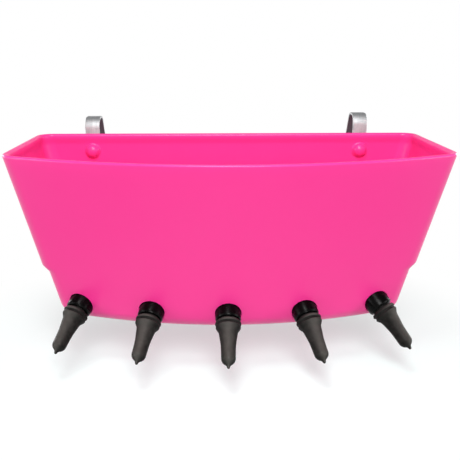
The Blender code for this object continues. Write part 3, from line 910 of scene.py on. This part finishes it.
def threaded_rod(name, crest, depth, low, high):
    """A solid rod with a helical thread, cut flat at both ends."""
    bpy.ops.object.select_all(action="DESELECT")
    bpy.ops.mesh.primitive_plane_add(size=0.001)
    thing = bpy.context.active_object
    thing.name = name
    turns = math.ceil((high - low) / PITCH) + 3
    start = low - 1.5 * PITCH
    bpy.ops.object.mode_set(mode="EDIT")
    mesh = bmesh.from_edit_mesh(thing.data)
    mesh.clear()
    root = crest - depth
    zigzag = [(root, 0.0), (root, 0.12), (crest, 0.42), (crest, 0.58), (root, 0.88), (root, 1.0)]
    verts = [mesh.verts.new((radius, 0.0, start + share * PITCH)) for radius, share in zigzag]
    for a, b in zip(verts, verts[1:]):
        mesh.edges.new((a, b))
    bmesh.update_edit_mesh(thing.data)
    bpy.ops.object.mode_set(mode="OBJECT")
    modify(thing, "SCREW", axis="Z", steps=THREAD_STEPS, render_steps=THREAD_STEPS,
           screw_offset=PITCH, iterations=turns, use_merge_vertices=True, merge_threshold=MERGE)
    bpy.ops.object.mode_set(mode="EDIT")
    for height, upper in ((low, False), (high, True)):
        bpy.ops.mesh.select_all(action="SELECT")
        bpy.ops.mesh.bisect(plane_co=(0.0, 0.0, height), plane_no=(0.0, 0.0, 1.0),
                            use_fill=True, clear_inner=not upper, clear_outer=upper)
    bpy.ops.mesh.select_all(action="SELECT")
    bpy.ops.mesh.remove_doubles(threshold=MERGE)
    bpy.ops.mesh.normals_make_consistent(inside=False)
    bpy.ops.object.mode_set(mode="OBJECT")
    return thing


print("the thread climbs", PITCH * 1000, "mm a turn")

# %% [markdown]
# The ring's own profile is closed, so its last point is bridged to its first. The threaded tool
# is then cut from the bore, a little deeper than the spigot's thread, so that the two never
# touch.

# %% Screw rings
RING_RADIUS = 0.0234
RING_REAR = -0.0125
RING_FRONT = 0.0140
RING_BORE = 0.0194
RING_LIP_HOLE = 0.0178
RING_LIP = 0.0024
THREAD_DEPTH = 0.0009
SPIGOT_THREAD_END = -0.0005


def ring_profile():
    front_edge = arc((RING_RADIUS - 0.0021, RING_FRONT - 0.0011), 0.0011, 80.0, 20.0, 4)
    shoulder = [(RING_RADIUS - 0.0006, RING_FRONT - 0.0024)]
    side_edge = arc((RING_RADIUS - 0.0006, RING_FRONT - 0.0032), 0.0006, 70.0, 0.0, 3)
    rear_edge = arc((RING_RADIUS - 0.0008, RING_REAR + 0.0008), 0.0008, 0.0, -90.0, 3)
    bore = [(RING_BORE + 0.0006, RING_REAR), (RING_BORE, RING_REAR + 0.0006),
            (RING_BORE, RING_FRONT - RING_LIP), (RING_LIP_HOLE, RING_FRONT - RING_LIP),
            (RING_LIP_HOLE, RING_FRONT - 0.0005), (RING_LIP_HOLE + 0.0005, RING_FRONT)]
    return front_edge + shoulder + side_edge + rear_edge + bore


ring_master = turned("ring_master", ring_profile(), 96, closed=True)
thread_tool = threaded_rod("ring_thread_tool", RING_BORE + THREAD_DEPTH, THREAD_DEPTH + 0.0002,
                           RING_REAR - PITCH, SPIGOT_THREAD_END)
combine(ring_master, thread_tool, "DIFFERENCE")
smooth(dress(ring_master, glossy_nylon), 32.0)
show_at_teats((ring_master, "screw_ring", "teat_ring", "glossy_black_nylon", "teat_ring_{}"))

# %% [markdown]
# ## Spigots, seals and locknuts
#
# The spigot is the tube through the wall. Its wide head has the thread for the ring, and its
# shank has a thread for the locknut, which pulls a rubber seal against the inside of the
# trough. Those nuts show when one looks down into the trough. A nut starts as a six-sided
# cylinder whose corners are turned off by a wide double cone.

# %% Spigots
SPIGOT_HEAD = 0.0190
SPIGOT_NOSE = 0.0180
SPIGOT_NOSE_END = 0.0084
SPIGOT_SHANK = 0.0132
SPIGOT_SHANK_END = -0.0345
SPIGOT_BORE = 0.0095
SPIGOT_CHAMFER = 0.0008
SHANK_THREAD_DEPTH = 0.0007
BORE_CHAMFER = 0.001


def bore_profile(radius, low, high):
    """A through hole that is chamfered at both ends, as a tool that reaches past them."""
    wide = radius + BORE_CHAMFER
    return [(wide, low - BORE_CHAMFER), (wide, low), (radius, low + BORE_CHAMFER),
            (radius, high - BORE_CHAMFER), (wide, high), (wide, high + BORE_CHAMFER)]


spigot_master = threaded_rod("spigot_master", SPIGOT_HEAD, THREAD_DEPTH, SEAT_OUT + GAP,
                             SPIGOT_THREAD_END)
nose_profile = [(SPIGOT_NOSE, SPIGOT_THREAD_END - PITCH),
                (SPIGOT_NOSE, SPIGOT_NOSE_END - SPIGOT_CHAMFER),
                (SPIGOT_NOSE - SPIGOT_CHAMFER, SPIGOT_NOSE_END)]
combine(spigot_master, turned("spigot_nose", nose_profile, 64), "UNION")
shank = threaded_rod("spigot_shank", SPIGOT_SHANK, SHANK_THREAD_DEPTH, SPIGOT_SHANK_END, 0.0)
combine(spigot_master, shank, "UNION")
bore_tool = turned("bore_tool", bore_profile(SPIGOT_BORE, SPIGOT_SHANK_END, SPIGOT_NOSE_END), 48)
combine(spigot_master, bore_tool, "DIFFERENCE")
smooth(dress(spigot_master, satin_nylon), 30.0)
show_at_teats((spigot_master, "threaded_spigot", "spigot", "black_nylon", "trough"))

# %% Seals and locknuts
SEAL_RADIUS = 0.0195
SEAL_THICKNESS = 0.0025
SEAL_EDGE = 0.0010
SEAL_FACE = SEAL_RADIUS - 0.0012
NUT_FLATS = 0.036
NUT_THICKNESS = 0.0075
CORNER_INNER = 0.97
CORNER_OUTER = 1.05
CORNER_SLOPE = 0.5


def seal_profile():
    top = SEAT_IN - GAP
    middle = top - SEAL_THICKNESS / 2.0
    low = top - SEAL_THICKNESS
    inner = SPIGOT_SHANK + GAP
    round_side = arc((SEAL_RADIUS - SEAL_EDGE, middle), SEAL_EDGE, 75.0, -75.0, 6)
    return round_side + [(SEAL_FACE, low), (inner, low), (inner, top), (SEAL_FACE, top)]


def hexagon(name, flats, low, high, bore):
    """A nut blank or bolt head: a six-sided cylinder with its corners turned off."""
    bpy.ops.object.select_all(action="DESELECT")
    radius = flats / math.sqrt(3.0)
    bpy.ops.mesh.primitive_cylinder_add(vertices=6, radius=radius, depth=high - low,
                                        location=(0.0, 0.0, (low + high) / 2.0))
    thing = settle(bpy.context.active_object)
    thing.name = name
    inner = flats / 2.0 * CORNER_INNER
    outer = radius * CORNER_OUTER
    drop = (outer - inner) * CORNER_SLOPE
    profile = [(inner, low), (outer, low + drop), (outer, high - drop), (inner, high)]
    combine(thing, turned(f"{name}_corners", profile, 72), "INTERSECT")
    if bore:
        hole = turned(f"{name}_hole", bore_profile(bore, low, high), 48)
        combine(thing, hole, "DIFFERENCE")
    return thing


seal_master = turned("seal_master", seal_profile(), 64, closed=True)
smooth(dress(seal_master, seal_rubber))
nut_top = SEAT_IN - 2.0 * GAP - SEAL_THICKNESS
nut_master = hexagon("nut_master", NUT_FLATS, nut_top - NUT_THICKNESS, nut_top,
                     SPIGOT_SHANK + GAP)
smooth(dress(nut_master, nut_nylon), 25.0)
show_at_teats((seal_master, "rubber_seal", "seal", "seal_rubber", "trough"),
              (nut_master, "hexagon_locknut", "locknut", "nut_nylon", "trough"))

# %% [markdown]
# ## Hooks and their bolts
#
# A hook is a strip, so it is drawn as one: a narrow plane whose far edge is extruded along the
# bent path, then given its thickness, and its long edges are bevelled as a rolled bar's are.
# The path has straight runs through four corners with an arc at each bend, as a press brake
# would make it. The hooks' boxes in the frame give the height of each crown.

# %% Hook path
HOOK_WIDTH = 0.030
HOOK_THICKNESS = 0.0045
HOOK_NEAR_END = -0.062
HOOK_NEAR_BEND = 0.020
HOOK_FAR_BEND = 0.020
HOOK_FLARE = math.radians(32.0)
HOOK_FAR_Y = 0.078
HOOK_FAR_Z = -0.010
HOOK_FAR_END = -0.042
BEND_STEPS = 14


def rounded_path(corners, radii):
    """Straight runs through the corners, with an arc at each bend."""
    path = [corners[0]]
    for before, corner, after, radius in zip(corners, corners[1:], corners[2:], radii):
        arriving = (corner - before).normalized()
        leaving = (after - corner).normalized()
        turn = arriving.angle(leaving)
        start = corner - arriving * radius * math.tan(turn / 2.0)
        inward = (leaving - arriving * arriving.dot(leaving)).normalized()
        for i in range(BEND_STEPS + 1):
            angle = turn * i / BEND_STEPS
            forwards = arriving * radius * math.sin(angle)
            path.append(start + forwards + inward * radius * (1.0 - math.cos(angle)))
    return path + [corners[-1]]


def hook_path(rise):
    """The middle of the strip as (y, z): up the near leg, over the crown, down the far leg."""
    half = HOOK_THICKNESS / 2.0
    near_y = GAP + half
    crown_z = rise - half
    far_y = HOOK_FAR_Y - half - (crown_z - HOOK_FAR_Z) * math.tan(HOOK_FLARE)
    end_y = far_y + (crown_z - HOOK_FAR_END) * math.tan(HOOK_FLARE)
    corners = ((near_y, HOOK_NEAR_END), (near_y, crown_z), (far_y, crown_z), (end_y, HOOK_FAR_END))
    return rounded_path([Vector(corner) for corner in corners], (HOOK_NEAR_BEND, HOOK_FAR_BEND))


print("the hook's path has", len(hook_path(HOOK_WIDTH)), "points")

# %% Hooks
HOLE_IN_HOOK = 0.0045
STRIP_BEVEL = 0.0011
HOOK_MIDDLE_Y = 0.024


def mark_inside(mesh, middle):
    """Store which faces of the bent strip look into the hook, for their painted shade."""
    inside_shade = mesh.attributes.new("inside_shade", "FLOAT", "FACE")
    for face in mesh.polygons:
        broad = abs(face.normal.x) < 0.5
        inside = face.normal.dot(middle - face.center) > 0.0
        inside_shade.data[face.index].value = 1.0 if broad and inside else 0.0


def make_hook(side):
    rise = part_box(f"hook_{side}")[1].z - TOP
    path = hook_path(rise)
    bpy.ops.object.select_all(action="DESELECT")
    bpy.ops.mesh.primitive_plane_add(size=HOOK_WIDTH, location=at(0.0, 0.0, 0.0))
    thing = settle(bpy.context.active_object)
    thing.name = f"strip_hook_{side}"
    x = middle_x(f"hook_{side}")
    bpy.ops.object.mode_set(mode="EDIT")
    mesh = bmesh.from_edit_mesh(thing.data)
    near = sorted(mesh.verts, key=lambda v: v.co.y)
    for verts, (y, z) in ((near[:2], path[0]), (near[2:], path[1])):
        for vert in verts:
            vert.co = at(x + math.copysign(HOOK_WIDTH / 2.0, vert.co.x), y, z)
    for vert in mesh.verts:
        vert.select = vert in near[2:]
    mesh.select_flush(False)
    mesh.select_flush(True)
    bmesh.update_edit_mesh(thing.data)
    for (y, z), (next_y, next_z) in zip(path[1:], path[2:]):
        step = (0.0, next_y - y, next_z - z)
        bpy.ops.mesh.extrude_region_move(TRANSFORM_OT_translate={"value": step})
    bpy.ops.object.mode_set(mode="OBJECT")
    modify(thing, "SOLIDIFY", thickness=HOOK_THICKNESS, offset=0.0, use_even_offset=True)
    hole = turned("hook_hole_tool", [(HOLE_IN_HOOK, -0.02), (HOLE_IN_HOOK, 0.01)], 40)
    combine(thing, settle(hole, bolt_place(side)), "DIFFERENCE")
    modify(thing, "BEVEL", width=STRIP_BEVEL, segments=3, limit_method="ANGLE",
           angle_limit=math.radians(50.0))
    mark_inside(thing.data, at(x, HOOK_MIDDLE_Y, rise - HOOK_NEAR_BEND))
    smooth(dress(thing, galvanised), 40.0)
    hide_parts(f"hook_{side}")
    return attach(thing, "trough")


for side in HOOKS:
    print(make_hook(side).name, "made")

# %% [markdown]
# The bolts, washers and inserts are seen only from behind, or not at all. The bolt has a
# chamfered hexagon head with a plain top, and the washer has the slightly rounded edge of a
# stamping. The brass insert keeps its shape from the frame and only takes its finish.

# %% Bolts, washers and inserts
BOLT_RADIUS = 0.004
BOLT_END = -0.0115
BOLT_FLATS = 0.013
BOLT_HEAD = 0.0053
BOLT_POINT = 0.0008
WASHER_RADIUS = 0.0085
WASHER_THICKNESS = 0.0016
WASHER_EDGE = 0.0004


def make_bolt(side):
    washer_top = -2.0 * GAP - HOOK_THICKNESS
    washer_low = washer_top - WASHER_THICKNESS
    head_top = washer_low - GAP
    rim = WASHER_RADIUS - WASHER_EDGE
    bore = BOLT_RADIUS + GAP
    profile = arc((rim, washer_top - WASHER_EDGE), WASHER_EDGE, 90.0, 0.0, 3)
    profile += arc((rim, washer_low + WASHER_EDGE), WASHER_EDGE, 0.0, -90.0, 3)
    profile += [(bore, washer_low), (bore, washer_top)]
    washer = turned(f"flat_washer_{side}", profile, 48, closed=True)
    settle(washer, bolt_place(side))
    bolt = hexagon(f"hexagon_bolt_{side}", BOLT_FLATS, head_top - BOLT_HEAD, head_top, 0.0)
    profile = [(BOLT_RADIUS, head_top - BOLT_HEAD / 2.0), (BOLT_RADIUS, -BOLT_END - BOLT_POINT),
               (BOLT_RADIUS - BOLT_POINT, -BOLT_END)]
    combine(bolt, turned("bolt_shank_tool", profile, 32), "UNION")
    settle(bolt, bolt_place(side))
    for thing, node in ((washer, f"hook_washer_{side}"), (bolt, f"hook_bolt_{side}")):
        smooth(dress(thing, zinc_plate), 30.0)
        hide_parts(node)
        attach(thing, "trough")


for side in HOOKS:
    make_bolt(side)
    dress(frame["nodes"][f"thread_insert_{side}"], brass)
print("made bolts and washers")

# %% [markdown]
# ## Stage, light and camera
#
# The feeder was photographed on a white ground, hanging just above it, with a soft shadow under
# its front. The floor is matt paper a little below the teats, pale and a little greenish, which
# makes up for the pink light that the moulding throws on it. Away from the feeder the paper
# fades to black and a glow takes its place, which only the camera and reflections see, so the
# floor runs into the white ground and sends no more light up. The world is a pale studio whose
# ceiling is darker than its walls. To the camera it is plain white.

# %% Floor
FLOOR_DROP = 0.060
FLOOR_SIZE = 14.0
FLOOR_NEAR = 0.25
FLOOR_FAR = 0.75
FLOOR_GLOW = 0.40
FLOOR_CENTRE = at(0.0, -0.22, 0.0)
PAPER = "#bbcdc9"
NO_PAPER = "#000000"


def seen_directly(owner):
    """One for a ray from the camera, a reflection or a clear piece, and zero for other light."""
    rays = add_node(owner, "ShaderNodeLightPath")
    value = rays.outputs["Is Camera Ray"]
    for name in ("Is Glossy Ray", "Is Transmission Ray"):
        value = add_node(owner, "ShaderNodeMath", {"operation": "MAXIMUM"},
                         {0: value, 1: rays.outputs[name]}).outputs[0]
    return value


def make_floor_material(centre):
    material = new_material("white_studio_paper")
    where = add_node(material, "ShaderNodeTexCoord").outputs["Object"]
    away = add_node(material, "ShaderNodeVectorMath", {"operation": "DISTANCE", 1: centre},
                    {0: where})
    fade = add_node(material, "ShaderNodeMapRange",
                    {"interpolation_type": "SMOOTHSTEP", "From Min": FLOOR_NEAR,
                     "From Max": FLOOR_FAR}, {"Value": away.outputs["Value"]})
    paper = add_node(material, "ShaderNodeMix",
                     {"data_type": "RGBA", 6: linear(PAPER), 7: linear(NO_PAPER)},
                     {0: fade.outputs[0]})
    glow = add_node(material, "ShaderNodeMapRange", {"To Min": FLOOR_GLOW, "To Max": 1.0},
                    {"Value": fade.outputs[0]})
    strength = add_node(material, "ShaderNodeMath", {"operation": "MULTIPLY"},
                        {0: glow.outputs[0], 1: seen_directly(material)})
    return finish(material, {"Roughness": 0.9, "Specular IOR Level": 0.0,
                             "Emission Color": (1.0, 1.0, 1.0, 1.0)},
                  {"Base Color": paper.outputs[2], "Emission Strength": strength.outputs[0]})


floor_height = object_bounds()[0][2] - FLOOR_DROP
bpy.ops.object.select_all(action="DESELECT")
bpy.ops.mesh.primitive_plane_add(size=FLOOR_SIZE, location=(0.0, 0.0, floor_height))
floor = settle(bpy.context.active_object)
floor.name = "studio_floor"
dress(floor, make_floor_material((FLOOR_CENTRE.x, FLOOR_CENTRE.y, floor_height)))
print("the floor is at", round(floor_height, 3))

# %% World
WORLD_LIGHT = 0.65
CEILING_LIGHT = 0.24
CEILING_RISE = 0.66

world = bpy.data.worlds.new("pale_studio")
bpy.context.scene.world = world
world.use_nodes = True
direction = add_node(world, "ShaderNodeTexCoord").outputs["Generated"]
split = add_node(world, "ShaderNodeSeparateXYZ", {}, {0: direction})
ceiling = add_node(world, "ShaderNodeMapRange",
                   {"interpolation_type": "SMOOTHSTEP", "From Max": CEILING_RISE,
                    "To Min": 1.0, "To Max": CEILING_LIGHT}, {"Value": split.outputs["Z"]})
rays = add_node(world, "ShaderNodeLightPath")
backdrop = add_node(world, "ShaderNodeMath", {"operation": "MAXIMUM"},
                    {0: rays.outputs["Is Camera Ray"], 1: ceiling.outputs[0]})
dimmed = add_node(world, "ShaderNodeMath", {"operation": "MULTIPLY", 1: WORLD_LIGHT},
                  {0: ceiling.outputs[0]})
level = add_node(world, "ShaderNodeMapRange", {},
                 {"Value": seen_directly(world), "To Min": dimmed.outputs[0],
                  "To Max": backdrop.outputs[0]})
background = world.node_tree.nodes["Background"]
background.inputs["Color"].default_value = (1.0, 1.0, 1.0, 1.0)
world.node_tree.links.new(level.outputs[0], background.inputs["Strength"])
print("made", world.name)

# %% [markdown]
# The even pink of the front asks for one large softbox in front of it, above the height of the
# eye. A smaller lamp, higher and nearer, draws the highlights on the rim and the two domes. Four
# weaker softboxes stand low around the trough, so that its sides and its back have light of their
# own. The two at the back stand far out, where neither the rounded rim nor the flat back wall
# mirrors them to the camera.

# %% Lamps
FRONT_AIM = at(0.0, -0.25, -0.17)
BACK_AIM = at(0.0, -0.10, -0.17)


def add_lamp(name, place, aim, size, power):
    bpy.ops.object.select_all(action="DESELECT")
    bpy.ops.object.light_add(type="AREA", location=place)
    lamp = bpy.context.active_object
    lamp.name = name
    lamp.data.shape = "DISK"
    lamp.data.size = size
    lamp.data.energy = power
    lamp.rotation_euler = (aim - place).to_track_quat("-Z", "Y").to_euler()
    return lamp


add_lamp("key_softbox", at(0.05, -2.1, 1.2), at(0.0, -0.25, -0.10), 1.0, 45.0)
add_lamp("small_lamp", at(-0.25, -1.15, 1.6), at(0.0, -0.20, 0.0), 0.55, 13.0)
for name, side in (("left", -1.0), ("right", 1.0)):
    add_lamp(f"front_{name}_softbox", at(1.9 * side, -0.9, -0.1), FRONT_AIM, 1.0, 14.0)
    add_lamp(f"back_{name}_softbox", at(2.4 * side, 1.6, 0.1), BACK_AIM, 1.4, 34.0)

# %% [markdown]
# The camera stands about one and a half metres in front, a little above the rim and a little to
# the left, and looks down by fifteen degrees. These values were worked out from the outline of
# the trough in the photo.

# %% Camera
CAMERA_PLACE = (-0.0331, -1.4639, 0.1843)
LOOK_DOWN = math.radians(15.246)
LOOK_RIGHT = math.radians(1.471)
LENS = 53.58
VIEW_END = 60.0

bpy.ops.object.select_all(action="DESELECT")
bpy.ops.object.camera_add(location=at(*CAMERA_PLACE),
                          rotation=(math.radians(90.0) - LOOK_DOWN, 0.0, -LOOK_RIGHT))
camera = bpy.context.active_object
camera.data.lens = LENS
camera.data.clip_end = VIEW_END
print("the camera stands at", [round(v, 3) for v in camera.location])
bpy.context.scene.camera = camera
bpy.context.scene.view_settings.view_transform = "Standard"
